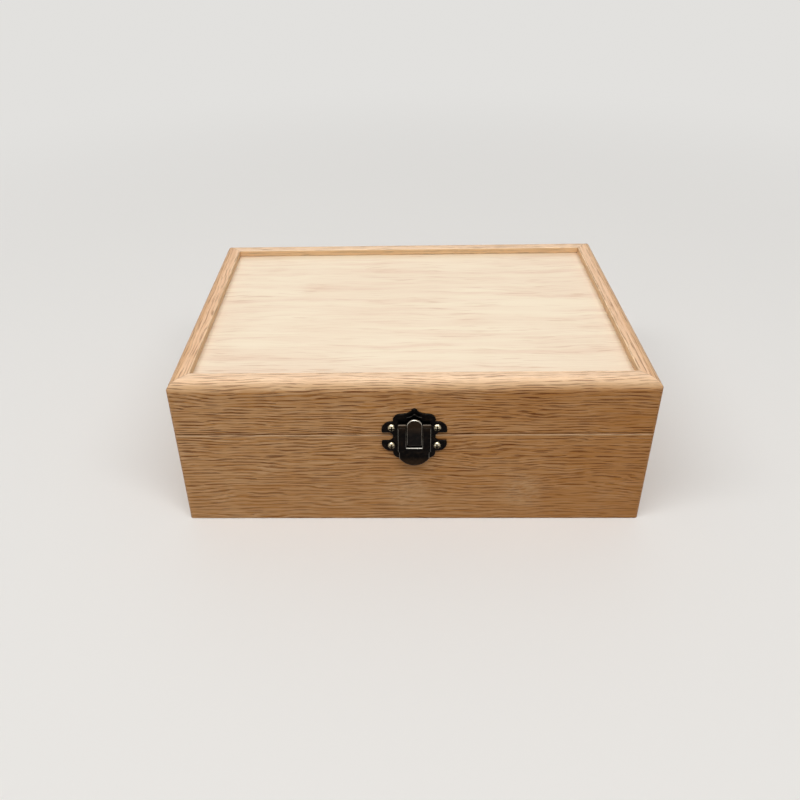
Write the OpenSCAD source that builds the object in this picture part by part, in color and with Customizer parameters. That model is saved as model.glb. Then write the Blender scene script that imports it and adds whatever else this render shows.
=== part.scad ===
// Hinged wooden keepsake box with a snap clasp
// Oak walls mitred at the corners, a thin panel let into the lid, a second one in the bottom.
// Millimetres, Z up. The origin is the middle of the underside and the front faces -Y.

/* [Box] */
// Width of the box, left to right
box_w = 240; // [160:5:320]
// Depth of the box, front wall to back wall
box_d = 160; // [110:5:240]
// Height of the lower case, from the table to the seam
base_h = 57.5; // [40:0.5:90]
// Height of the lid, from the seam to its rim
lid_h = 31; // [28:0.5:45]
// Thickness of the oak walls and rails
wall = 10; // [9:0.5:14]
// Radius along the top outer edges of the lid
top_round = 5.5; // [2:0.5:6]
// Radius of the four upright corners
corner_round = 2; // [0.4:0.2:4]
// Radius that eases the outer edges at the seam and at the table
edge_round = 0.5; // [0.3:0.1:1.5]
// Radius that eases the inner edges
inner_round = 0.4; // [0.2:0.1:1]
// Height of the shadow gap that runs round the outside of the seam
seam_gap = 0.4; // [0.2:0.1:0.8]
// Depth of that gap
seam_depth = 2; // [1:0.5:3]

/* [Panels] */
// Thickness of the lid panel
lid_panel_t = 4; // [3:0.5:6]
// Depth of the lid panel's face below the rim
lid_recess = 4; // [2:0.5:8]
// Depth of the groove that holds the lid panel
groove_depth = 4; // [3:0.5:5]
// Thickness of the bottom panel
bottom_t = 5; // [3:0.5:8]
// Width of the rebate that holds the bottom panel
rebate_w = 5; // [3:0.5:6]
// Play between a panel and the wood around it
panel_play = 0.2; // [0.1:0.05:0.4]

/* [Clasp plates] */
// How far the clasp sits to the right of the middle
clasp_x = 1; // [-40:1:40]
// How far the clasp's middle, where its two plates meet, lies below the seam
clasp_drop = 0.7; // [0:0.1:1]
// Thickness of the sheet that the clasp is pressed from
clasp_sheet = 0.8; // [0.6:0.1:1]
// Width of both plates over their ears
plate_w = 32.6; // [30:0.2:40]
// Height of one plate, from the clasp's middle to its finial
plate_h = 17.1; // [16.5:0.1:20]
// Width of a plate between its shoulders
body_w = 21.2; // [20:0.2:23]
// Radius of a shoulder
shoulder_r = 3.7; // [3:0.1:4.5]
// Height of the shoulders' centres from the clasp's middle
shoulder_z = 10.1; // [9.3:0.2:10.7]
// Radius of the finial
finial_r = 1.6; // [1.2:0.1:1.9]
// Radius of an ear
ear_r = 5; // [4.6:0.1:5.6]
// Height of the ears' centres from the clasp's middle
ear_z = 4.2; // [3.6:0.1:4.8]
// Radius of the notch under each ear
notch_r = 2.3; // [1.4:0.1:2.6]
// Height of the raised crest below the finial
crest_rise = 0.4; // [0.3:0.1:0.6]

/* [Clasp flap and tongue] */
// Width of the flap
flap_w = 16.3; // [15.5:0.1:17]
// Height of the flap's pin above the clasp's middle
pin_z = 7.7; // [6.7:0.2:8.5]
// Radius of the flap's pin
pin_r = 0.5; // [0.4:0.05:0.6]
// Outer radius of the knuckles round that pin
knuckle_r = 1.1; // [1:0.05:1.3]
// Width of the flap's window
window_w = 8.2; // [8:0.1:9]
// Drop of the window's lower bar below the clasp's middle
bar_drop = 6.1; // [5.4:0.1:7]
// Height of that bar
bar_h = 2.7; // [2:0.1:3.5]
// Width of the lip under the bar
lip_w = 15; // [13:0.2:15.4]
// Length of the lip
lip_len = 7.7; // [5:0.1:8.5]
// How far the lip's end curves forward
lip_rise = 0.8; // [0.4:0.1:0.9]
// Radius of the broad curve that the lip ends in
lip_end_r = 9; // [8:0.5:12]
// Width of the tongue
tongue_w = 7.3; // [6:0.1:7.4]
// Height of the tongue's tip above the clasp's middle
tongue_top = 12.9; // [11:0.2:14]
// Height of the bend above which the tongue stands upright
tongue_bend = 8.4; // [8:0.1:9]
// Reach of the tongue's root, forward from the wood
root_reach = 2.4; // [2.3:0.1:3.2]
// Play between the tongue's root and the bar below it
root_play = 1.7; // [1:0.1:2]

/* [Back hinges] */
// Distance from the side of the box to the middle of a hinge
hinge_inset = 50; // [30:1:70]
// Width of a hinge
hinge_w = 24; // [20:1:32]
// Height of one leaf from the seam
leaf_h = 11; // [10:0.5:14]
// Thickness of a leaf
leaf_t = 1; // [0.8:0.1:1.2]
// Outer radius of the hinge's barrel
barrel_r = 1.6; // [1.4:0.1:2]
// Radius of the hinge's pin
hinge_pin_r = 0.8; // [0.6:0.05:0.9]
// Radius of the leaf's free corners
leaf_round = 2; // [1:0.1:3]

/* [Screws] */
// Radius of a screw's shank
shank_r = 0.9; // [0.7:0.05:1]
// Length of a screw under its head
screw_len = 8; // [6:0.2:8.4]
// Radius of a screw's head
head_r = 2; // [1.8:0.05:2.2]
// Height of a round head
head_h = 1.4; // [1:0.1:1.6]
// Height of a flat head's crown above its leaf
crown_h = 0.3; // [0.2:0.05:0.4]
// Width of the cross cut in a head
cross_w = 0.7; // [0.5:0.05:0.8]
// Height of the clasp's screws from the clasp's middle
clasp_screw_z = 5.6; // [5:0.1:6]
// Height of the hinges' screws from the seam
hinge_screw_z = 6.6; // [6:0.1:7.5]

/* [Fits] */
// Gap between pieces that move past each other
run_gap = 0.3; // [0.2:0.05:0.4]
// Clearance of a pin or shank in its hole, on the radius
pin_fit = 0.05; // [0.02:0.01:0.1]

/* [Hidden] */

// Overrun of every cutter past the face that it opens
cut = 1;
// Facets of a full turn, drawn as a true circle
smooth = 64;

oak = "#b88a5c";
pale_ply = "#ecd9bd";
bronze = "#2b2622";
nickel = "#b9ac8d";

box_h = base_h + lid_h;
front_y = -box_d / 2;
back_y = box_d / 2;

// Heights of the lid panel, measured from the seam
lid_panel_top = lid_h - lid_recess;
lid_panel_under = lid_panel_top - lid_panel_t;

// Clasp distances that stand forward of the box's front face
pin_out = clasp_sheet + run_gap + knuckle_r;
flap_back = pin_out - clasp_sheet / 2;
pad_out = flap_back - run_gap;
tongue_back = pin_out + knuckle_r + run_gap;
tongue_front = tongue_back + clasp_sheet;

// Clasp heights measured from the clasp's middle
bar_top = -bar_drop;
bar_bottom = bar_top - bar_h;
lip_bottom = bar_bottom - lip_len;
root_z = bar_top + root_play;
lip_bend_r = (lip_len * lip_len + lip_rise * lip_rise) / (2 * lip_rise);

// Plan places on the clasp plates
ear_x = plate_w / 2 - ear_r;
shoulder_x = body_w / 2 - shoulder_r;
shoulder_top = shoulder_z + shoulder_r;
finial_z = plate_h - finial_r;
hollow_z = plate_h - shoulder_top;
hollow_r = (shoulder_x * shoulder_x + hollow_z * hollow_z) / (2 * hollow_z);
crest_share = 0.55;
knuckle_w = window_w - 2 * run_gap;

// The hinges' pins stand clear of the back face by the running gap
hinge_out = barrel_r + run_gap;
hinge_x = box_w / 2 - hinge_inset;
hinge_knuckle_w = (hinge_w - 2 * run_gap) / 3;
leaf_screw_share = 0.3;
leaf_screw_x = hinge_w * leaf_screw_share;

// A round head is a slice of this ball
head_ball_r = (head_r * head_r + head_h * head_h) / (2 * head_h);
crown_ball_r = (head_r * head_r + crown_h * crown_h) / (2 * crown_h);
cross_depth_share = 0.55;
cross_reach_share = 1.3;
tip_share = 0.25;

// Cuts a square corner of a flat outline down to a round of radius r.
// dir holds the signs of the corner's outward directions.
module rounding(corner, dir, r) {
    translate([corner.x - dir.x * r, corner.y - dir.y * r])
    difference() {
        translate([dir.x > 0 ? 0 : -r - cut, dir.y > 0 ? 0 : -r - cut])
        square(r + cut);
        circle(r, $fn = smooth);
    }
}

// Section of a base board: x runs inward from the outer face, y up from the table
module base_section() {
    difference() {
        square([wall, base_h]);
        rounding([0, 0], [-1, -1], edge_round);
        rounding([0, base_h], [-1, 1], edge_round);
        rounding([wall, base_h], [1, 1], inner_round);
        translate([wall - rebate_w, -cut])
        square([rebate_w + cut, bottom_t + cut]);
    }
}

// Section of a lid rail: x runs inward from the outer face, y up from the seam. Its outer
// lower edge stands clear of the lower case, so the seam shows as a dark line.
module lid_section() {
    difference() {
        square([wall, lid_h]);
        translate([-cut, -cut])
        square([seam_depth + cut, seam_gap + cut]);
        rounding([0, seam_gap], [-1, -1], edge_round);
        rounding([0, lid_h], [-1, 1], top_round);
        rounding([wall, lid_h], [1, 1], inner_round);
        rounding([wall, 0], [1, -1], inner_round);
        translate([wall - groove_depth, lid_panel_under])
        square([groove_depth + cut, lid_panel_t + panel_play]);
    }
}

// One side of a mitred frame, made as a moulding of the given section with both ends
// sawn at 45 degrees. run is its outer length, reach its distance from the middle.
module mitred_side(turn, run, reach, height) {
    rotate([0, 0, turn])
    translate([0, -reach, 0])
    intersection() {
        rotate([90, 0, 90])
        linear_extrude(run, center = true)
        children();
        linear_extrude(height)
        difference() {
            polygon([
                [-run / 2, 0], [run / 2, 0],
                [run / 2 - wall, wall], [-run / 2 + wall, wall]
            ]);
            rounding([-run / 2, 0], [-1, -1], corner_round);
            rounding([run / 2, 0], [1, -1], corner_round);
        }
    }
}

module base_side(turn, run, reach) {
    mitred_side(turn, run, reach, base_h)
    base_section();
}

module lid_side(turn, run, reach) {
    translate([0, 0, base_h])
    mitred_side(turn, run, reach, lid_h)
    lid_section();
}

// Places for what is screwed on: the origin is on the clasp's middle on the front face, or
// on the seam on the back face, and Z points away from the wood. Y points up on the front
// and down on the back.
module on_front() {
    translate([clasp_x, front_y, base_h - clasp_drop])
    rotate([90, 0, 0])
    children();
}

module on_back(side) {
    translate([side * hinge_x, back_y, base_h])
    rotate([-90, 0, 0])
    children();
}

module clasp_screw_places(up) {
    for (side = [-1, 1])
        translate([side * ear_x, up * clasp_screw_z, 0])
        children();
}

// up is 1 for the lid's leaf and -1 for the base's
module hinge_screw_places(up) {
    for (side = [-1, 1])
        translate([side * leaf_screw_x, -up * hinge_screw_z, 0])
        children();
}

// Shank of a screw whose head bears at z = seat; grow widens it into its hole
module shank(seat, grow = 0) {
    tip = screw_len * tip_share;
    translate([0, 0, seat - screw_len + tip])
    cylinder(h = screw_len - tip, r = shank_r + grow, $fn = smooth);
    translate([0, 0, seat - screw_len])
    cylinder(h = tip, r1 = grow + shank_r * tip_share, r2 = shank_r + grow, $fn = smooth);
}

module cross_cut(top, height) {
    depth = height * cross_depth_share;
    reach = head_r * cross_reach_share;
    for (turn = [0, 90])
        rotate([0, 0, turn])
        translate([-reach / 2, -cross_w / 2, top - depth])
        cube([reach, cross_w, depth + cut]);
}

// Screw with a round head that bears on the clasp's plate
module round_screw() {
    difference() {
        union() {
            shank(clasp_sheet);
            intersection() {
                translate([0, 0, clasp_sheet + head_h - head_ball_r])
                sphere(head_ball_r, $fn = smooth);
                translate([0, 0, clasp_sheet])
                cylinder(h = head_h, r = head_r, $fn = smooth);
            }
        }
        cross_cut(clasp_sheet + head_h, head_h);
    }
}

// Cone of a flat head; grow widens it into its seat in the leaf
module head_cone(grow = 0) {
    cylinder(h = leaf_t, r1 = shank_r + grow, r2 = head_r + grow, $fn = smooth);
}

// Seat of a flat head, open past both faces of its leaf
module head_seat() {
    head_cone(pin_fit);
    translate([0, 0, leaf_t])
    cylinder(h = cut, r = head_r + pin_fit, $fn = smooth);
    translate([0, 0, -cut])
    cylinder(h = 2 * cut, r = shank_r + pin_fit, $fn = smooth);
}

// Screw with a flat head and a low crown, sunk in a hinge leaf
module flat_screw() {
    difference() {
        union() {
            shank(0);
            head_cone();
            intersection() {
                translate([0, 0, leaf_t + crown_h - crown_ball_r])
                sphere(crown_ball_r, $fn = smooth);
                translate([0, 0, leaf_t])
                cylinder(h = crown_h, r = head_r, $fn = smooth);
            }
        }
        cross_cut(leaf_t + crown_h, leaf_t);
    }
}

module clasp_pilots(up) {
    on_front()
    clasp_screw_places(up)
    shank(clasp_sheet, pin_fit);
}

module hinge_pilots(up) {
    for (side = [-1, 1])
        on_back(side)
        hinge_screw_places(up)
        shank(0, pin_fit);
}

// Top of a plate: its sides sweep up from the shoulders in hollow curves, which run in
// under a round finial
module crest_outline() {
    difference() {
        translate([-shoulder_x, shoulder_z])
        square([2 * shoulder_x, finial_z + finial_r / 2 - shoulder_z]);
        for (side = [-1, 1])
            translate([side * shoulder_x, shoulder_top + hollow_r])
            circle(hollow_r, $fn = smooth);
    }
    translate([0, finial_z])
    circle(finial_r, $fn = smooth);
}

// The two halves of the clasp share one outline, mirrored at its middle: ears with a
// notch below, round shoulders, and the crest.
module plate_outline() {
    difference() {
        union() {
            translate([-body_w / 2, 0])
            square([body_w, shoulder_z]);
            crest_outline();
            for (side = [-1, 1]) {
                translate([side * ear_x, ear_z])
                circle(ear_r, $fn = smooth);
                translate([side * shoulder_x, shoulder_z])
                circle(shoulder_r, $fn = smooth);
            }
        }
        for (side = [-1, 1]) {
            translate([side * (body_w / 2 + notch_r), run_gap])
            circle(notch_r, $fn = smooth);
            translate([side > 0 ? body_w / 2 + notch_r : -plate_w / 2 - cut, 0])
            square([plate_w / 2 + cut - body_w / 2 - notch_r, run_gap + notch_r]);
        }
        translate([-plate_w, -plate_h])
        square([2 * plate_w, plate_h + run_gap]);
    }
}

module clasp_plate(up) {
    difference() {
        linear_extrude(clasp_sheet)
        mirror([0, up > 0 ? 0 : 1])
        plate_outline();
        clasp_screw_places(up)
        translate([0, 0, -cut])
        cylinder(h = clasp_sheet + 2 * cut, r = shank_r + pin_fit, $fn = smooth);
    }
}

// A round bar along X at the height z, its axis standing out by the given distance
module cross_bar(length, z, out, r) {
    translate([0, z, out])
    rotate([0, 90, 0])
    cylinder(h = length, r = r, center = true, $fn = smooth);
}

// Turns a profile, drawn with x = distance out and y = height, into a bar along X
module across(width) {
    rotate([0, -90, 0])
    linear_extrude(width, center = true)
    children();
}

// Raised crest on the lid's plate, a smaller echo of the plate's own above the pin
module crest() {
    linear_extrude(clasp_sheet + crest_rise)
    translate([0, shoulder_z])
    scale([crest_share, crest_share])
    translate([0, -shoulder_z])
    crest_outline();
}

// Side view of the tongue. It leaves the plate through the flap's window, leans outward
// as it rises, and stands upright where it passes in front of the flap's pin.
module tongue_profile() {
    lean = atan((tongue_front - root_reach) / (tongue_bend - root_z));
    sheet_across = clasp_sheet / cos(lean);
    back_bend = tongue_bend + clasp_sheet * tan(lean / 2);
    back_root = root_reach - sheet_across + clasp_sheet * tan(lean);
    polygon([
        [0, root_z], [root_reach, root_z], [tongue_front, tongue_bend],
        [tongue_front, tongue_top], [tongue_back, tongue_top], [tongue_back, back_bend],
        [back_root, root_z + clasp_sheet], [0, root_z + clasp_sheet]
    ]);
}

// The tongue ends in a round tip
module tongue() {
    intersection() {
        across(tongue_w)
        tongue_profile();
        linear_extrude(tongue_front + cut)
        union() {
            translate([-tongue_w / 2, root_z - cut])
            square([tongue_w, tongue_top - tongue_w / 2 - root_z + cut]);
            translate([0, tongue_top - tongue_w / 2])
            circle(tongue_w / 2, $fn = smooth);
        }
    }
}

// Pad that the closed flap lies against, under the bar and the lip
module flap_pad() {
    pad_w = window_w + 2 * clasp_sheet;
    pad_h = shoulder_z - run_gap;
    translate([-pad_w / 2, -run_gap - pad_h, 0])
    linear_extrude(pad_out)
    difference() {
        square([pad_w, pad_h]);
        for (side = [-1, 1])
            rounding([side > 0 ? pad_w : 0, 0], [side, -1], clasp_sheet);
    }
}

// Front view of the flap: two arms beside the window, the bar, and the lip
module flap_outline() {
    difference() {
        union() {
            translate([-flap_w / 2, bar_bottom])
            square([flap_w, pin_z + knuckle_r - bar_bottom]);
            intersection() {
                translate([-lip_w / 2, lip_bottom])
                square([lip_w, lip_len + cut]);
                translate([0, lip_bottom + lip_end_r])
                circle(lip_end_r, $fn = smooth);
            }
        }
        for (side = [-1, 1])
            rounding([side * flap_w / 2, bar_bottom], [side, -1], (flap_w - lip_w) / 2);
        translate([-window_w / 2, bar_top])
        square([window_w, pin_z + knuckle_r - bar_top + cut]);
    }
}

// Side view of the flap: a flat leaf in line with the pin and a lip that curves forward
module flap_profile() {
    translate([flap_back, bar_bottom])
    square([clasp_sheet, pin_z - bar_bottom]);
    intersection() {
        translate([pin_out + lip_bend_r, bar_bottom])
        difference() {
            circle(lip_bend_r + clasp_sheet / 2, $fn = smooth);
            circle(lip_bend_r - clasp_sheet / 2, $fn = smooth);
        }
        translate([flap_back, lip_bottom])
        square([tongue_front, lip_len]);
    }
}

// Hinge leaf drawn on the back face; up is 1 for the lid's leaf and -1 for the base's.
// The lid's leaf has the middle knuckle and the base's leaf the two outer ones.
module hinge_leaf(up) {
    knuckle_places = up > 0 ? [0] : [-1, 1];
    step = hinge_knuckle_w + run_gap;
    relief = barrel_r + run_gap;
    difference() {
        union() {
            linear_extrude(leaf_t)
            mirror([0, up > 0 ? 1 : 0])
            difference() {
                translate([-hinge_w / 2, relief])
                square([hinge_w, leaf_h - relief]);
                for (side = [-1, 1])
                    rounding([side * hinge_w / 2, leaf_h], [side, 1], leaf_round);
            }
            for (place = knuckle_places)
                translate([place * step, 0, 0]) {
                    cross_bar(hinge_knuckle_w, 0, hinge_out, barrel_r);
                    translate([-hinge_knuckle_w / 2, up > 0 ? -relief : 0, 0])
                    cube([hinge_knuckle_w, relief, leaf_t]);
                }
        }
        cross_bar(hinge_w + 2 * cut, 0, hinge_out, hinge_pin_r + pin_fit);
        hinge_screw_places(up)
        head_seat();
    }
}

module base_front_board() {
    color(oak)
    difference() {
        base_side(0, box_w, box_d / 2);
        clasp_pilots(-1);
    }
}

module base_back_board() {
    color(oak)
    difference() {
        base_side(180, box_w, box_d / 2);
        hinge_pilots(-1);
    }
}

module base_left_board() {
    color(oak)
    base_side(-90, box_d, box_w / 2);
}

module base_right_board() {
    color(oak)
    base_side(90, box_d, box_w / 2);
}

module bottom_panel() {
    panel_w = box_w - 2 * (wall - rebate_w + panel_play);
    panel_d = box_d - 2 * (wall - rebate_w + panel_play);
    color(pale_ply)
    translate([-panel_w / 2, -panel_d / 2, 0])
    cube([panel_w, panel_d, bottom_t]);
}

module lid_front_rail() {
    color(oak)
    difference() {
        lid_side(0, box_w, box_d / 2);
        clasp_pilots(1);
    }
}

module lid_back_rail() {
    color(oak)
    difference() {
        lid_side(180, box_w, box_d / 2);
        hinge_pilots(1);
    }
}

module lid_left_rail() {
    color(oak)
    lid_side(-90, box_d, box_w / 2);
}

module lid_right_rail() {
    color(oak)
    lid_side(90, box_d, box_w / 2);
}

module lid_panel() {
    panel_w = box_w - 2 * (wall - groove_depth + panel_play);
    panel_d = box_d - 2 * (wall - groove_depth + panel_play);
    color(pale_ply)
    translate([-panel_w / 2, -panel_d / 2, base_h + lid_panel_under])
    cube([panel_w, panel_d, lid_panel_t]);
}

module clasp_lid_plate() {
    color(bronze)
    on_front()
    difference() {
        union() {
            clasp_plate(1);
            crest();
            cross_bar(knuckle_w, pin_z, pin_out, knuckle_r);
            translate([-knuckle_w / 2, pin_z - knuckle_r, 0])
            cube([knuckle_w, 2 * knuckle_r, pin_out]);
        }
        cross_bar(flap_w, pin_z, pin_out, pin_r + pin_fit);
    }
}

module clasp_base_plate() {
    color(bronze)
    on_front() {
        clasp_plate(-1);
        flap_pad();
        tongue();
    }
}

module clasp_flap() {
    color(bronze)
    on_front()
    difference() {
        union() {
            intersection() {
                across(flap_w)
                flap_profile();
                linear_extrude(tongue_front)
                flap_outline();
            }
            for (side = [-1, 1])
                translate([side * (flap_w + window_w) / 4, 0, 0])
                cross_bar((flap_w - window_w) / 2, pin_z, pin_out, knuckle_r);
        }
        cross_bar(flap_w + 2 * cut, pin_z, pin_out, pin_r + pin_fit);
    }
}

module clasp_pin() {
    color(bronze)
    on_front()
    cross_bar(flap_w, pin_z, pin_out, pin_r);
}

module clasp_lid_screws() {
    color(nickel)
    on_front()
    clasp_screw_places(1)
    round_screw();
}

module clasp_base_screws() {
    color(nickel)
    on_front()
    clasp_screw_places(-1)
    round_screw();
}

module hinge_pin(side) {
    color(bronze)
    on_back(side)
    cross_bar(hinge_w, 0, hinge_out, hinge_pin_r);
}

module hinge_left_base_leaf() {
    color(bronze)
    on_back(-1)
    hinge_leaf(-1);
}

module hinge_left_lid_leaf() {
    color(bronze)
    on_back(-1)
    hinge_leaf(1);
}

module hinge_left_pin() {
    hinge_pin(-1);
}

module hinge_right_base_leaf() {
    color(bronze)
    on_back(1)
    hinge_leaf(-1);
}

module hinge_right_lid_leaf() {
    color(bronze)
    on_back(1)
    hinge_leaf(1);
}

module hinge_right_pin() {
    hinge_pin(1);
}

module hinge_base_screws() {
    color(nickel)
    for (side = [-1, 1])
        on_back(side)
        hinge_screw_places(-1)
        flat_screw();
}

module hinge_lid_screws() {
    color(nickel)
    for (side = [-1, 1])
        on_back(side)
        hinge_screw_places(1)
        flat_screw();
}

base_front_board();
base_back_board();
base_left_board();
base_right_board();
bottom_panel();
lid_front_rail();
lid_back_rail();
lid_left_rail();
lid_right_rail();
lid_panel();
clasp_lid_plate();
clasp_base_plate();
clasp_flap();
clasp_pin();
clasp_lid_screws();
clasp_base_screws();
hinge_left_base_leaf();
hinge_left_lid_leaf();
hinge_left_pin();
hinge_right_base_leaf();
hinge_right_lid_leaf();
hinge_right_pin();
hinge_base_screws();
hinge_lid_screws();
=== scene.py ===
# %% [markdown]
# # An oak keepsake box with a snap clasp
#
# The box is a mitred oak case with a framed lid, two hinges at the back and a blackened clasp at the
# front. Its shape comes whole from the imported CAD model, so this script has three jobs: give each piece
# the surface of the real one, light it plainly, and look at it from where the photograph was taken.

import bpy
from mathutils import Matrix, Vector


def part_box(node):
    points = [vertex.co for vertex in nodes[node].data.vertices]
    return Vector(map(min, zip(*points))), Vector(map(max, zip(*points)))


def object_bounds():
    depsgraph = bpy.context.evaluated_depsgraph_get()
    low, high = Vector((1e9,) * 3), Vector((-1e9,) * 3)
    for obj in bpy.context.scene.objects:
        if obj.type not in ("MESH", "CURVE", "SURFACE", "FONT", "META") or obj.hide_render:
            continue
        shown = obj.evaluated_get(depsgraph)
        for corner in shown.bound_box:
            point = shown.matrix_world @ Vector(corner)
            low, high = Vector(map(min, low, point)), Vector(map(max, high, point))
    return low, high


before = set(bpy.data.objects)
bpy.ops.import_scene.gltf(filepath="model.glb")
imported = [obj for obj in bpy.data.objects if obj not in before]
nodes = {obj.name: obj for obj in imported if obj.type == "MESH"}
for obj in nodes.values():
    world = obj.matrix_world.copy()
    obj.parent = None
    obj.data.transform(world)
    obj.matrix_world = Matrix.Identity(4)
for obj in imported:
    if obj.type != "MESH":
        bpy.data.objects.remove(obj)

# %% [markdown]
# ## Units and the size of the box
#
# Blender counts in metres and a joiner in millimetres, so one name turns the one into the other. The box
# of the CAD model is measured at once.

# %% Units and the size of the box
import math

import bpy
import numpy as np
from mathutils import Matrix, Vector

MM = 0.001
cad_low, cad_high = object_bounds()
print("CAD box in mm", [round(c / MM, 1) for c in (*cad_low, *cad_high)])

# %% [markdown]
# ## A short way to write shader maths
#
# A material is a sheet of nodes. Wiring them by hand hides the formula, so a wire here is a Python
# object: adding or multiplying wires adds the Math node that does it, and a formula reads as one line of
# arithmetic.

# %% A wire
class Wire:
    """A socket that gives one value. Arithmetic with numbers or other wires adds Math nodes."""

    def __init__(self, finish, socket):
        self.finish = finish
        self.socket = socket

    def beside(self, name):
        """Another output of the node that this wire comes out of."""
        return Wire(self.finish, self.socket.node.outputs[name])

    def maths(self, operation, *terms, clamp=False):
        settings = {"operation": operation, "use_clamp": clamp}
        return self.finish.node("ShaderNodeMath", settings, dict(enumerate(terms)))

    def __add__(self, other):
        return self.maths("ADD", self, other)

    def __sub__(self, other):
        return self.maths("SUBTRACT", self, other)

    def __mul__(self, other):
        return self.maths("MULTIPLY", self, other)

    def __truediv__(self, other):
        return self.maths("DIVIDE", self, other)

    def __rsub__(self, other):
        return self.maths("SUBTRACT", other, self)

    __radd__ = __add__
    __rmul__ = __mul__

    def root(self):
        return self.maths("SQRT", self)

    def size(self):
        """The value without its sign."""
        return self.maths("ABSOLUTE", self)

    def fraction(self):
        """What the value has past its last whole number."""
        return self.maths("FRACT", self)

    def lesser(self, other):
        return self.maths("MINIMUM", self, other)

    def held(self):
        """The value kept between 0 and 1."""
        return self.maths("ADD", self, 0.0, clamp=True)

    def step(self, low, high):
        """0 below low, 1 above high and a smooth curve between; low above high turns it round."""
        settings = {"interpolation_type": "SMOOTHSTEP"}
        inputs = {"Value": self, "From Min": low, "From Max": high}
        return self.finish.node("ShaderNodeMapRange", settings, inputs)


print("a wire adds the Math nodes of its own arithmetic")

# %% [markdown]
# ## One sheet of nodes
#
# Every node that isn't arithmetic is added by one method, which takes its kind, its settings and what
# goes into its sockets. The other methods only give plain names to what a wood or metal finish needs
# again and again: a blend of two colours, the point being shaded, the way the face looks, a cloudy
# pattern and a tilted normal.

# %% A finish
class Finish:
    """The nodes of a material, or of the world, while they are wired. A Mix node has sockets for numbers,
    vectors and colours in one list, so the ones for colours are named here by their places in it."""

    MIX_SHARE, MIX_FIRST, MIX_SECOND, MIX_RESULT = 0, 6, 7, 2

    def __init__(self, holder, shader="Principled BSDF"):
        holder.use_nodes = True
        self.holder = holder
        self.tree = holder.node_tree
        self.shader = self.tree.nodes[shader]

    def node(self, kind, settings=None, inputs=None, output=0):
        """Adds one node and gives one of its outputs. Settings come first, because they change the sockets."""
        made = self.tree.nodes.new(kind)
        for name, value in (settings or {}).items():
            setattr(made, name, value)
        for key, value in (inputs or {}).items():
            self.feed(made.inputs[key], value)
        return Wire(self, made.outputs[output])

    def feed(self, socket, value):
        if isinstance(value, Wire):
            self.tree.links.new(value.socket, socket)
        else:
            socket.default_value = value

    def surface(self, **sockets):
        for name, value in sockets.items():
            self.feed(self.shader.inputs[name.replace("_", " ")], value)
        return self.holder

    def mixed(self, share, first, second):
        """A colour that goes from first to second as share goes from 0 to 1."""
        inputs = {self.MIX_SHARE: share, self.MIX_FIRST: first, self.MIX_SECOND: second}
        return self.node("ShaderNodeMix", {"data_type": "RGBA"}, inputs, self.MIX_RESULT)

    def vector(self, x, y, z):
        return self.node("ShaderNodeCombineXYZ", inputs={"X": x, "Y": y, "Z": z})

    def split(self, vector):
        """The three parts of a vector, as three wires."""
        first = self.node("ShaderNodeSeparateXYZ", inputs={0: vector})
        return [first.beside(axis) for axis in "XYZ"]

    def place(self):
        """The point being shaded, in millimetres."""
        return [part / MM for part in self.split(self.node("ShaderNodeTexCoord", output="Object"))]

    def facing(self):
        """The way the face looks. The last part is 1 where it looks up, 0 where it is upright and -1 below."""
        return self.split(self.node("ShaderNodeTexCoord", output="Normal"))

    def length(self, x, y, z):
        settings = {"operation": "LENGTH"}
        return self.node("ShaderNodeVectorMath", settings, {0: self.vector(x, y, z)}, "Value")

    def noise(self, x, y, z, detail=2.0):
        inputs = {"Vector": self.vector(x, y, z), "Scale": 1.0, "Detail": detail}
        return self.node("ShaderNodeTexNoise", inputs=inputs)

    def bump(self, height, depth, **normal):
        """A surface normal tilted by height, which runs from 0 to 1 over depth in metres."""
        inputs = {"Height": height, "Distance": depth, **normal}
        return self.node("ShaderNodeBump", inputs=inputs, output="Normal")


def new_finish(name):
    """A finish for a new material."""
    return Finish(bpy.data.materials.new(name))


print("a finish adds every node through", Finish.node.__name__)

# %% [markdown]
# ## Colours
#
# A colour read off a picture is bent, so that dark tones get more of the 256 steps. A shader counts
# light, and takes the straight value. This is the standard formula that straightens it.

# %% A picture's colour for a shader
def srgb(red, green, blue):
    """A colour as a picture writes it, from 0 to 255, as the linear colour that a shader takes: dark shares
    over 12.92, and the others as (share + 0.055) / 1.055 to the power 2.4."""
    shares = np.array([red, green, blue]) / 255
    linear = np.where(shares <= 0.04045, shares / 12.92, ((shares + 0.055) / 1.055) ** 2.4)
    return (*linear.tolist(), 1.0)


print("middle grey, as a shader takes it, is", round(srgb(128, 128, 128)[0], 3))

# %% [markdown]
# ## Red oak: colours and sizes
#
# Red oak shows short dark dashes: they are pores, tubes that run along the board and are cut open by its
# face. They lie in the spring wood of each year's ring, so they come in rows. A flat picture could be
# wrapped round each board, but it would smear on the rounded edges and break at the corners. A solid
# pattern is used in its place: the colour is worked out for every point in space, as in real timber, and
# the faces cut through it. So all its sizes are in millimetres of wood.

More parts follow.
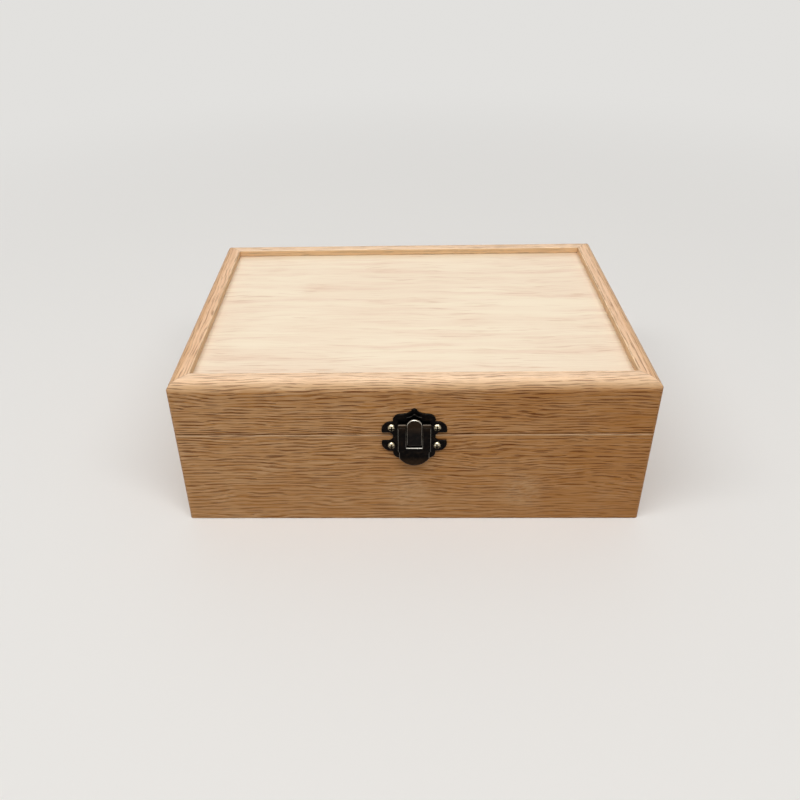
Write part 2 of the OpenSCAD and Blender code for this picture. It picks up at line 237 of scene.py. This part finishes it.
# %% Oak's colours and sizes
OAK_PALE = srgb(235, 189, 140)
OAK_WARM = srgb(207, 151, 98)
OAK_LINE = srgb(196, 130, 58)
OAK_PORE_AND_SHADOW = srgb(108, 50, 8)
OAK_FRESH_AND_LIT = srgb(250, 224, 184)
OAK_RAY = srgb(232, 192, 148)
LARGE_PORE = (14.0, 0.48)
SMALL_PORE = (8.0, 0.34)
PORE_DEPTH = 0.12 * MM
PORE_BEND = 0.35
RING_WIDTH = 1.45
SLOW_DRIFT, QUICK_DRIFT = 7.0, 0.4
BOARD_SHIFT = 137.0
board_low, board_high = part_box("base_front_board")
HALF_WIDTH, HALF_DEPTH = cad_high.x / MM, -board_low[1] / MM
SEAM_HEIGHT = (board_high[2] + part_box("lid_front_rail")[0][2]) / 2 / MM
print("oak rings", RING_WIDTH, "mm wide, seam", round(SEAM_HEIGHT, 1), "mm up")

# %% [markdown]
# ## Pores
#
# A dash on the face is a thin tube cut open along its length. A Voronoi pattern scatters one point to a
# cell, and its distance is small near the point. In cells that are long and thin the same pattern gives
# long thin spindles, and a random number for each cell says whether it has one and how fat it is.

# %% Tubes scattered in the wood
def pores(finish, point, length, spacing, rest):
    """Spindles scattered in space, one to a cell at most. A cell is length by spacing by spacing, and a
    spindle fills the part of its cell that is nearer to the middle than a random share of it. rest is the
    share of cells that stay empty: it may change from place to place."""
    along, across, up = point
    cell = finish.vector(along / length, across / spacing, up / spacing)
    settings = {"voronoi_dimensions": "3D", "feature": "F1"}
    distance = finish.node("ShaderNodeTexVoronoi", settings, {"Vector": cell, "Scale": 1.0})
    luck = finish.node("ShaderNodeSeparateColor", inputs={0: distance.beside("Color")}, output="Red")
    reach = 0.38 + 0.24 * luck.beside("Green")
    return (distance / reach).step(1.0, 0.7) * luck.step(rest, rest + 0.1)


print("pores of", LARGE_PORE[0], "and", SMALL_PORE[0], "mm")

# %% [markdown]
# ## Rings
#
# A board is a slice of a tree, so its pattern is a set of tubes round the tree's middle. The middle lies
# outside the box and below it, so the rings cross the rounded edges squarely. A true circle would look
# turned on a lathe, so a slow and a quick cloud push each point sideways before its ring is counted.

# %% Rings round the tree's middle
def rings(finish, along, across, up, pith):
    """The sideways drift of the grain, the radius counted from the pith and the share of spring wood there.
    The radius is the length of (across, up) plus drift less pith, and a ring is the fraction of radius over
    ring width."""
    slow = finish.noise(along / 60, across / 18, up / 18) - 0.5
    quick = finish.noise(along / 15, across / 5, up / 5) - 0.5
    drift = slow * SLOW_DRIFT + quick * QUICK_DRIFT
    span = across + drift - pith[0]
    rise = up + drift - pith[1]
    radius = (span * span + rise * rise).root()
    ring = (radius / RING_WIDTH).fraction()
    return drift, radius, ring.step(0.0, 0.15) * ring.step(0.75, 0.35)


print("rings drift by up to", SLOW_DRIFT / 2 + QUICK_DRIFT / 2, "mm")

# %% [markdown]
# ## Wear, glue and painted light on the oak
#
# The rim faces up: it was sanded and is handled most, so it is paler, and that paler colour is also painted
# light from above. The inner walls are paler by painted bounce light from the pale panel. The box was sawn
# open after it was glued; a thin line of painted shadow runs round it at the seam, with a painted highlight
# on the arris below it, and a thin line of glue shows at each mitre. All of these are places on the box and
# not in the tree, so they are worked out from the distance to its faces and from the way a face looks.

# %% Sanded and lit tops, painted bounce light and shadow, and glue
GLUE_LINE = 0.12
INNER_FACE = (9.4, 9.8)


def workshop_marks(finish, x, y, z):
    """Shares from 0 to 1: sanded and facing up, paler by wear and by painted light; on an inner face, paler by
    painted bounce light; on the arris below the seam, a painted highlight; and in the painted shadow line of
    the seam or the dark glue line of a mitre."""
    from_end, from_side = HALF_WIDTH - x.size(), HALF_DEPTH - y.size()
    above_seam = z - SEAM_HEIGHT
    off_seam = above_seam.size()
    # Paler where a face looks up: partly sanding and handling, partly painted light from above.
    sanded = finish.facing()[2].step(0.0, 0.7) * off_seam.step(0.1, 0.25)
    # Painted bounce light: the inner faces are paler, as if lit by the pale panel.
    inner_bounce_light = from_end.step(*INNER_FACE) * from_side.step(*INNER_FACE)
    off_sawn_face = off_seam.step(0.05, 0.15)
    # Painted highlight: a pale line on the arris just below the seam.
    arris_highlight = off_sawn_face * above_seam.step(-1.15, -0.85) * above_seam.step(-0.25, -0.4)
    # Painted shadow: a dark line in the seam just above it.
    seam_shadow = off_sawn_face * above_seam.step(-0.32, -0.22) * above_seam.step(0.8, 0.45)
    mitre = (from_end - from_side).size().step(GLUE_LINE * 2, GLUE_LINE)
    glue_and_seam_shadow = mitre * 0.45 + seam_shadow * from_end.lesser(from_side).step(1.3, 0.9) * 0.75
    return sanded, inner_bounce_light, arris_highlight, glue_and_seam_shadow.held()


def ray_fleck(finish, along, across, up, middle):
    """A pale silky patch round its middle, where the face runs along a ray of the tree."""
    near = finish.length((along - middle[0]) / 16, (across - middle[1]) / 30, (up - middle[2]) / 16)
    ripple = finish.noise((along + up) / 4.5, across / 4, (up - along * 0.25) / 0.9)
    return near.step(1.0, 0.2) * (0.08 + ripple.step(0.4, 0.6) * 0.4)


print("inner faces start", INNER_FACE[1], "mm in")

# %% [markdown]
# ## The oak of one board
#
# The colour is laid on as a finisher would see it: the ground of the wood, the brown lines of its fibres,
# the flecks, the paler sanded rim and arris, which also carry painted light, the pores, the inner faces
# paled by painted bounce light, and last the glue lines and the painted shadow of the seam. Open pores are
# hollow, so they are also rougher and dip a little, and the handled rim has the faint sheen of a rubbed
# coat where no pore breaks it.

# %% Oak as a solid pattern
def oak(name, along_x, seed, pith, bold, pale=0.32, tone=0.0, lean=0.0, flecks=()):
    """Oak for one board. seed moves the pattern along it. pith is where the tree's middle would lie across the
    board and up: the rings are counted from there. bold gives the two ring radii between which the pores grow
    from fine to bold. What faces up is sanded and handled most: it has fainter pores and is paler, partly by
    wear and partly by painted light from above, and pale says by how much. tone darkens the rest, lean darkens
    it toward one end, and flecks are the middles of the pale ray flecks."""
    finish = new_finish(name)
    x, y, z = finish.place()
    along, across = (x, y) if along_x else (y, x)
    shifted = along + BOARD_SHIFT * seed
    drift, radius, spring = rings(finish, shifted, across, z, pith)
    bend = drift * PORE_BEND
    tube = (shifted, across + bend, z + bend)
    large = pores(finish, tube, *LARGE_PORE, 0.95 - 0.8 * spring)
    small = pores(finish, tube, *SMALL_PORE, 0.9 - 0.5 * spring)
    fibre = finish.noise(shifted / 26, (across + drift) / 0.5, (z + drift) / 0.5)
    cloud = finish.noise(shifted / 40, across / 14, z / 10)
    sanded, inner_bounce_light, arris_highlight, glue_and_seam_shadow = workshop_marks(finish, x, y, z)
    depth = (radius.step(*bold) * 0.5 + 0.5) * (1.0 - sanded * 0.35)

    shade = cloud.step(0.35, 0.7) * 0.4 + (tone + lean * (along / HALF_WIDTH)) * (1.0 - sanded)
    line = (fibre.step(0.3, 0.65) * 0.6 + spring * 0.25) * (1.0 - sanded * 0.3)
    colour = finish.mixed(shade.held(), OAK_PALE, OAK_WARM)
    colour = finish.mixed(line, colour, OAK_LINE)
    for middle in flecks:
        colour = finish.mixed(ray_fleck(finish, along, across, z, middle), colour, OAK_RAY)
    # Painted light: the sanded top and the arris below the seam are mixed toward a pale colour.
    colour = finish.mixed((sanded * pale + arris_highlight * 0.4).held(), colour, OAK_FRESH_AND_LIT)
    colour = finish.mixed(small * depth * 0.5, colour, OAK_PORE_AND_SHADOW)
    colour = finish.mixed(large * depth * 0.8, colour, OAK_PORE_AND_SHADOW)
    # Painted bounce light on the inner faces.
    colour = finish.mixed(inner_bounce_light * 0.5, colour, OAK_FRESH_AND_LIT)
    # Painted shadow of the seam, with the real glue lines of the mitres.
    colour = finish.mixed(glue_and_seam_shadow, colour, OAK_PORE_AND_SHADOW)

    open_pores = (large + small * 0.3).held() * depth
    return finish.surface(
        Base_Color=colour,
        Specular_IOR_Level=0.2,
        Roughness=0.42 + 0.3 * open_pores,
        Coat_Weight=sanded * (0.15 + 0.6 * pale - 0.25 * open_pores).held(),
        Coat_Roughness=0.5,
        Normal=finish.bump(1.0 - open_pores - fibre * 0.12, PORE_DEPTH),
    )


print("boards' patterns lie", BOARD_SHIFT, "mm apart")

# %% [markdown]
# ## The eight oak pieces
#
# Each board is sawn along its own length, so the front and back have their pores along X and the sides
# along Y. The case and the lid were one glued box before it was sawn open, so the two pieces of a side
# share a pattern that runs on across the seam. On the front the pores are bold at the top and fine at the
# foot, the wood darkens to the right, and two pale ray flecks show low down near the middle.

# %% Dress the case and the lid's frame
def dress(material, *names):
    """Gives the pieces of those names one material."""
    for name in names:
        mesh = nodes[name].data
        mesh.materials.clear()
        mesh.materials.append(material)


FLECKS = ((57.0, -80.0, 20.0), (-2.0, -80.0, 20.0))
boards = {
    "front": oak("oak_front", True, 1, (-250.0, -120.0), (205.0, 245.0), tone=0.25, lean=0.55, flecks=FLECKS),
    "back": oak("oak_back", True, 2, (250.0, -130.0), (205.0, 245.0)),
    "left": oak("oak_left", False, 3, (-290.0, -115.0), (225.0, 290.0), pale=0.08),
    "right": oak("oak_right", False, 4, (290.0, -125.0), (225.0, 290.0), pale=0.14, tone=0.1),
}
for side, material in boards.items():
    dress(material, f"base_{side}_board", f"lid_{side}_rail")
print("oak on", 2 * len(boards), "pieces")

# %% [markdown]
# ## Pale plywood
#
# The lid's panel and the bottom are thin plywood with a pale face. It has no open pores. What shows is a
# broad pink-brown flame that runs left to right, warmer in some places than in others, and in it a fine
# silk of darker fibres. A few clouds stretched along the grain give all three. They are solid too, so the
# edges of the panel need no pattern of their own.

# %% Plywood for both panels
PLY_PALE = srgb(242, 224, 194)
PLY_WARM = srgb(233, 206, 176)
PLY_LINE = srgb(208, 170, 134)
PLY_DRIFT = 13.0
PANEL_SHIFT = 211.0
SILK_DEPTH = 0.02 * MM


def plywood(name, seed):
    """Plywood for one panel. seed moves the pattern along the grain."""
    finish = new_finish(name)
    x, y, z = finish.place()
    along = x + PANEL_SHIFT * seed
    across = y + (finish.noise(along / 80, y / 25, z / 25) - 0.5) * PLY_DRIFT
    flame = finish.noise(along / 110, across / 6, z / 6, detail=5.0)
    silk = finish.noise(along / 26, across / 0.5, z / 0.5, detail=3.0)
    line = finish.noise(along / 20, across / 1.1, z / 1.1)
    patch = finish.noise(along / 42, across / 13, z / 13, detail=3.0).step(0.38, 0.62)
    broad = finish.noise(along / 95, across / 38, z / 38).step(0.42, 0.6)
    band = flame.step(0.34, 0.7) * (0.45 + 0.5 * patch) + broad * 0.3
    colour = finish.mixed(band.held(), PLY_PALE, PLY_WARM)
    colour = finish.mixed(silk.step(0.45, 0.75) * (0.1 + band * 0.45), colour, PLY_LINE)
    colour = finish.mixed(line.step(0.56, 0.7) * (0.1 + patch * 0.35 + band * 0.4), colour, PLY_LINE)
    return finish.surface(
        Base_Color=colour,
        Specular_IOR_Level=0.4,
        Roughness=0.48 + 0.1 * silk,
        Normal=finish.bump(silk, SILK_DEPTH),
    )


dress(plywood("lid_plywood", 1), "lid_panel")
dress(plywood("bottom_plywood", 2), "bottom_panel")
print("plywood on both panels")

# %% [markdown]
# ## Antique bronze: wear and painted highlights
#
# The clasp is pressed sheet, blackened all over and then rubbed, so its edges are bright. A place is worn
# where its face is a cut edge of the sheet, which doesn't look out along Y, or where it lies close to an
# edge. The Bevel node finds those: it gives the normal that a rounded edge would have, and near an edge
# that differs from the face's own. Edges that look up are made far brighter than the ones that look down,
# which stay dark: a painted highlight of the light from above on top of the wear. The flap and the tongue
# stand proud and are handled, so they are worn most, but the round knuckles on the pin have no edge to rub.
# The tongue's tip and the flap's lip are rubbed through to a little brown, which on the lip is also a
# painted sheen where it curves up.

# %% Wear and painted highlights on the fittings
EDGE_RADIUS = 0.55 * MM
KNUCKLE_REACH = (1.3, 1.5)
STANDS_PROUD = (1.5, 2.2)
TONGUE_TIP = (-5.0, 1.0)
FLAP_LIP = (-19.0, -22.5)
pin_low, pin_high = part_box("clasp_pin")
PIN_MIDDLE = (Vector(pin_low) + Vector(pin_high)) / 2


def wear_and_highlights(finish, y, z, soft):
    """Shares from 0 to 1: worn bright, with a painted highlight on the edges that look up, and brown at the
    tips, with a painted sheen on the lip. soft is the normal with its edges rounded.
    """
    flat = finish.node("ShaderNodeNewGeometry", output="True Normal")
    alike = finish.node("ShaderNodeVectorMath", {"operation": "DOT_PRODUCT"}, {0: soft, 1: flat}, "Value")
    near_edge = (1.0 - alike).step(0.01, 0.14)
    cut_edge = finish.facing()[1].size().step(0.75, 0.45)
    lift = finish.split(soft)[2]
    # Painted highlight: edges that look up are brightest, those that look down stay dark.
    lit_from_above = 0.3 * lift.step(-0.35, -0.1) + 0.7 * lift.step(0.02, 0.3)
    out, rise = y - PIN_MIDDLE.y / MM, z - PIN_MIDDLE.z / MM
    off_knuckle = (out * out + rise * rise).root().step(*KNUCKLE_REACH)
    handled = (y.size() - HALF_DEPTH).step(*STANDS_PROUD) * 0.99 + 0.01
    worn_and_lit = (cut_edge + near_edge).held() * lit_from_above * handled * (0.04 + off_knuckle * 0.96)
    # Partly rubbed through to brown, partly a painted sheen where the lip curves up.
    tips_rubbed_and_lit = (rise.step(*TONGUE_TIP) + rise.step(*FLAP_LIP)) * handled
    return worn_and_lit, tips_rubbed_and_lit


print("pin middle in mm", [round(c / MM, 1) for c in PIN_MIDDLE])

# %% [markdown]
# ## Antique bronze: the finish
#
# Under the wear the sheet is nearly black, with brown patches where the blackening took less. The rounded
# normal also goes into the finish itself, so every edge catches light as a soft one does, though the
# sheet's edges are sharp in the CAD model.

# %% Blackened metal for the clasp and the hinges
BLACKENED = srgb(15, 13, 13)
BROWNED = srgb(38, 30, 24)
BRONZE = srgb(120, 92, 64)
RUBBED_AND_LIT = srgb(240, 235, 222)
GRAIN_DEPTH = 0.015 * MM


def antique_bronze(name):
    """Black, with brown patches, brown tips and bright worn edges that carry a painted highlight where they
    look up, and a grain too fine to see as dots.
    """
    finish = new_finish(name)
    x, y, z = finish.place()
    soft = finish.node("ShaderNodeBevel", {"samples": 16}, {"Radius": EDGE_RADIUS})
    patch = finish.noise(x / 1.6, y / 1.6, z / 1.6, detail=4.0)
    grain = finish.noise(x / 0.25, y / 0.25, z / 0.25, detail=3.0)
    worn_and_lit, tips_rubbed_and_lit = wear_and_highlights(finish, y, z, soft)
    colour = finish.mixed(patch.step(0.45, 0.75) * 0.6, BLACKENED, BROWNED)
    # Brown at the tips: rubbed through, with a painted sheen on the lip.
    colour = finish.mixed(tips_rubbed_and_lit * 0.1, colour, BRONZE)
    # Worn edges, with a painted highlight where they look up, go near white.
    colour = finish.mixed(worn_and_lit, colour, RUBBED_AND_LIT)
    return finish.surface(
        Base_Color=colour,
        Metallic=1.0,
        Roughness=0.34 - 0.04 * worn_and_lit + 0.12 * grain,
        Normal=finish.bump(grain, GRAIN_DEPTH, Normal=soft),
    )


hinge_pieces = [name for name in nodes if name.startswith("hinge_") and not name.endswith("screws")]
clasp_pieces = ["clasp_lid_plate", "clasp_base_plate", "clasp_flap", "clasp_pin"]
dress(antique_bronze("antique_bronze"), *clasp_pieces, *hinge_pieces)
print("antique bronze on", len(clasp_pieces) + len(hinge_pieces), "pieces")

# %% [markdown]
# ## Screw metal
#
# The screws are small pale domes with a cross cut in them. They shine on top. The cross, the foot of the
# dome and what looks down are darkened by painted shade. Ambient Occlusion measures how open a point is, so
# it finds those hollows without a picture of them.

# %% Pale metal for all screws
SCREW_METAL = srgb(214, 204, 178)
SCREW_DULL = srgb(150, 136, 106)
SCREW_SHADE = srgb(34, 27, 20)
SCREW_EDGE = 0.12 * MM
NOOK_REACH = 1.6 * MM


def screw_metal(name):
    """Pale metal in two tones. Painted shade darkens the nooks and what looks down."""
    finish = new_finish(name)
    x, y, z = finish.place()
    soft = finish.node("ShaderNodeBevel", {"samples": 8}, {"Radius": SCREW_EDGE})
    patch = finish.noise(x / 0.9, y / 0.9, z / 0.9, detail=3.0)
    nook = {"samples": 16, "only_local": True}
    open_share = finish.node("ShaderNodeAmbientOcclusion", nook, {"Distance": NOOK_REACH}, "AO")
    # Painted shade: faces that look down are darker.
    underside_shade = finish.facing()[2].step(0.25, -0.35) * 0.7
    # Painted shade in the cross and at the foot of the dome, found by ambient occlusion.
    painted_shade = (open_share.step(1.0, 0.82) + underside_shade).held()
    colour = finish.mixed(patch.step(0.35, 0.7), SCREW_METAL, SCREW_DULL)
    colour = finish.mixed(painted_shade, colour, SCREW_SHADE)
    return finish.surface(
        Base_Color=colour,
        Metallic=1.0,
        Roughness=0.2 + 0.15 * patch + 0.3 * painted_shade,
        Normal=soft,
    )


screw_pieces = [name for name in nodes if name.endswith("screws")]
dress(screw_metal("screw_metal"), *screw_pieces)
print("screw metal on", screw_pieces)

# %% [markdown]
# ## Floor and background
#
# Floor and background are plain and pale, but only to the camera, in reflections and through glass. They
# send little light back to the box, because in the photograph nothing pale stands round it. A studio
# would hang a curved sheet of paper behind the box. Here the flat floor fades into the background's
# colour instead, so no edge shows from any side, and close to the box it keeps the shadow.

# %% What the camera and reflections see
BACKGROUND = (0.76, 0.75, 0.73, 1.0)
FLOOR_SEEN = (0.88, 0.87, 0.85, 1.0)
FLOOR_BOUNCE = (0.16, 0.155, 0.15, 1.0)
FLOOR_HALF = 8.0
FLOOR_DROP = 0.05 * MM
FADE_START, FADE_END = 0.2, 0.9


def seen_ray(finish):
    """1 on rays that show the background, 0 on rays that only carry its light."""
    camera_ray = finish.node("ShaderNodeLightPath", output="Is Camera Ray")
    return (camera_ray + camera_ray.beside("Is Glossy Ray") + camera_ray.beside("Is Transmission Ray")).held()


def floor_finish():
    """A matt floor that keeps the box's shadow. Away from the box it fades into the plain background."""
    finish = new_finish("pale_floor")
    seen = seen_ray(finish)
    finish.surface(Base_Color=finish.mixed(seen, FLOOR_BOUNCE, FLOOR_SEEN), Roughness=0.9)
    x, y, z = finish.place()
    fade = ((x * x + y * y).root() * MM).step(FADE_START, FADE_END) * seen
    matt = Wire(finish, finish.shader.outputs[0])
    plain = finish.node("ShaderNodeEmission", inputs={"Color": BACKGROUND, "Strength": 1.0})
    blend = finish.node("ShaderNodeMixShader", inputs={0: fade, 1: matt, 2: plain})
    finish.feed(finish.tree.nodes["Material Output"].inputs["Surface"], blend)
    return finish.holder


corners = FLOOR_HALF * np.array([[-1, -1, 0], [1, -1, 0], [1, 1, 0], [-1, 1, 0]], dtype=float)
corners[:, 2] = -FLOOR_DROP
floor_mesh = bpy.data.meshes.new("floor")
floor_mesh.from_pydata(corners.tolist(), [], [(0, 1, 2, 3)])
floor_mesh.materials.append(floor_finish())
floor = bpy.data.objects.new("floor", floor_mesh)
bpy.context.scene.collection.objects.link(floor)
print("floor", 2 * FLOOR_HALF, "m wide")

# %% [markdown]
# ## Light
#
# In the photograph the light comes from one long lamp overhead, a little in front of the box: the rounded
# front edge is as bright as the rim, the front is about two fifths as bright, and the side rails lay soft
# shadows on the panel. One long softbox does that. A second, broad one hangs overhead, from behind the
# box to above it. It lights no matt surface and only lays a pale sheen on what faces up, so it casts no
# second shadow. A weak even world fills the rest, and the camera sees the plain background in its place.

# %% Two softboxes and the world
LID_MIDDLE = Vector((0.0, 0.0, cad_high.z))
LAMP_DISTANCE = 2.0
WORLD_LEVEL = 0.3


def softbox(name, elevation, turn, length, depth, radiance, sheen_only=False):
    """A rectangular lamp aimed at the lid. turn is counted from the front, elevation from the table, both in
    degrees. A lamp of that radiance gives off pi times its area times its radiance in watts. A sheen_only lamp
    lights no matt surface and shows only as a sheen."""
    lamp = bpy.data.lights.new(name, "AREA")
    lamp.shape = "RECTANGLE"
    lamp.size, lamp.size_y = length, depth
    lamp.energy = math.pi * length * depth * radiance
    rise, round_way = math.radians(elevation), math.radians(turn)
    level = math.cos(rise)
    way = Vector((level * math.sin(round_way), -level * math.cos(round_way), math.sin(rise)))
    aim = (-way).to_track_quat("-Z", "Y").to_matrix().to_4x4()
    made = bpy.data.objects.new(name, lamp)
    made.matrix_world = Matrix.Translation(LID_MIDDLE + LAMP_DISTANCE * way) @ aim
    made.visible_camera = False
    made.visible_diffuse = not sheen_only
    bpy.context.scene.collection.objects.link(made)
    print(name, round(lamp.energy), "W")


softbox("long_softbox", elevation=66, turn=-8, length=3.6, depth=0.5, radiance=6.3)
softbox("top_softbox", elevation=66, turn=180, length=2.4, depth=3.0, radiance=5.5, sheen_only=True)

world = bpy.data.worlds.new("studio")
sky = Finish(world, "Background")
fill = (WORLD_LEVEL, WORLD_LEVEL * 0.97, WORLD_LEVEL * 0.93, 1.0)
sky.surface(Color=sky.mixed(seen_ray(sky), fill, BACKGROUND))
bpy.context.scene.world = world
bpy.context.scene.view_settings.view_transform = "Standard"
print("world level", WORLD_LEVEL)

# %% [markdown]
# ## Camera
#
# The photograph was taken from in front and above, a little left of the middle, with the camera turned by
# a degree or two and its picture cropped off centre. The place, the three turns and the focal length were
# found by fitting the box's own straight edges, and the crop is what the lens shift holds. A camera set
# by eye would do for a pretty picture, but a fitted one lets the render be laid over the photograph.

# %% Camera at the photograph's place
FRAME_PX = 800
FOCAL_PX = 745.76
CENTRE_PX = (376.84, 312.72)
PITCH, YAW, ROLL = (math.radians(turn) for turn in (30.08, 1.97, -1.49))
CAMERA_PLACE = Vector((-6.07, -371.57, 296.83)) * MM


def photo_camera():
    """A camera whose three directions come from its pitch, yaw and roll, and whose lens is given in pixels."""
    ahead = Vector((-math.sin(YAW) * math.cos(PITCH), math.cos(YAW) * math.cos(PITCH), -math.sin(PITCH)))
    level_right = Vector((math.cos(YAW), math.sin(YAW), 0.0))
    above = level_right.cross(ahead)
    turned_right = math.cos(ROLL) * level_right + math.sin(ROLL) * above
    turned_above = -math.sin(ROLL) * level_right + math.cos(ROLL) * above
    lens = bpy.data.cameras.new("photo_camera")
    lens.lens = FOCAL_PX / FRAME_PX * lens.sensor_width
    lens.shift_x = (FRAME_PX / 2 - CENTRE_PX[0]) / FRAME_PX
    lens.shift_y = (CENTRE_PX[1] - FRAME_PX / 2) / FRAME_PX
    lens.clip_start, lens.clip_end = 10 * MM, 20.0
    camera = bpy.data.objects.new("photo_camera", lens)
    turn = Matrix((turned_right, turned_above, -ahead)).transposed()
    camera.matrix_world = Matrix.Translation(CAMERA_PLACE) @ turn.to_4x4()
    bpy.context.scene.collection.objects.link(camera)
    return camera


bpy.context.scene.camera = photo_camera()
print("camera at", [round(c / MM) for c in CAMERA_PLACE], "mm")
